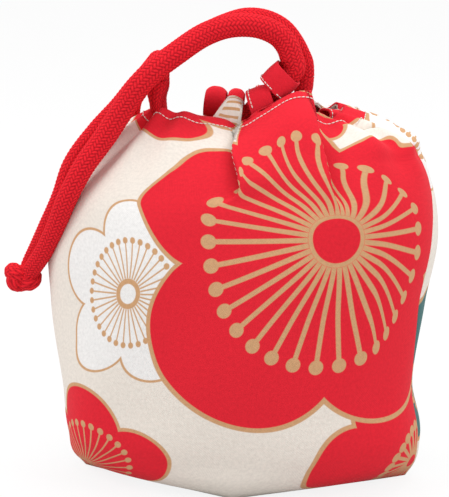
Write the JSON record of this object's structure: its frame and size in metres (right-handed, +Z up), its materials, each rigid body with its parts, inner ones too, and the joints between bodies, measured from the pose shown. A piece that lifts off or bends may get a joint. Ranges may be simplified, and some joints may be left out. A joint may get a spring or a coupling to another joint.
{
  "type": "drawstring pouch",
  "caption": "Full cloth drawstring pouch with a boxed base, a lined bag, sewn loops round a gathered mouth and two thick braided cords with knotted tails.",
  "frame": {"origin": "middle of the flat base, on the surface that the pouch stands on", "axes": "+Z up, +X to the right as the pouch is seen from the front, the front panel faces -Y"},
  "size_m": [0.215, 0.1304, 0.238],
  "materials": {
    "printed_cotton": "plain-weave cotton, printed with blossoms in red, cream and tan",
    "lining_cotton": "plain cream cotton",
    "thread": "white sewing thread",
    "braided_cord": "thick red braided cotton cord"
  },
  "bodies": {
    "bag": {"front_panel": "printed_cotton", "back_panel": "printed_cotton", "front_lining": "lining_cotton", "back_lining": "lining_cotton", "front_topstitch": "thread", "back_topstitch": "thread", "front_loop_1": "printed_cotton", "front_loop_2": "printed_cotton", "front_loop_3": "printed_cotton", "back_loop_1": "printed_cotton", "back_loop_2": "printed_cotton", "back_loop_3": "printed_cotton", "right_end_loop": "printed_cotton", "right_cord_mouth_run": "braided_cord", "left_cord_mouth_run": "braided_cord"},
    "right_exits": {"right_cord_front_exit": "braided_cord", "right_cord_back_exit": "braided_cord"},
    "right_tails": {"right_cord_front_tail": "braided_cord", "right_cord_back_tail": "braided_cord", "right_cord_knot": "braided_cord"},
    "left_exits": {"left_cord_front_exit": "braided_cord", "left_cord_back_exit": "braided_cord"},
    "left_tails": {"left_cord_front_tail": "braided_cord", "left_cord_back_tail": "braided_cord", "left_cord_knot": "braided_cord"}
  },
  "joints": [
    {"name": "right_cord_draw", "type": "slide", "parent": "bag", "child": "right_exits", "axis": [0, 0, 1], "range_m": [0, 0.02]},
    {"name": "right_tails_swing", "type": "hinge", "parent": "right_exits", "child": "right_tails", "pos_m": [0.0355, 0, 0.2029], "axis": [0, 1, 0], "range_deg": [0, 60]},
    {"name": "left_cord_draw", "type": "slide", "parent": "bag", "child": "left_exits", "axis": [0, 0.6, 0.8], "range_m": [0, 0.02]},
    {"name": "left_tails_swing", "type": "hinge", "parent": "left_exits", "child": "left_tails", "pos_m": [-0.0365, 0, 0.2029], "axis": [0, 1, 0], "range_deg": [0, 25]}
  ]
}
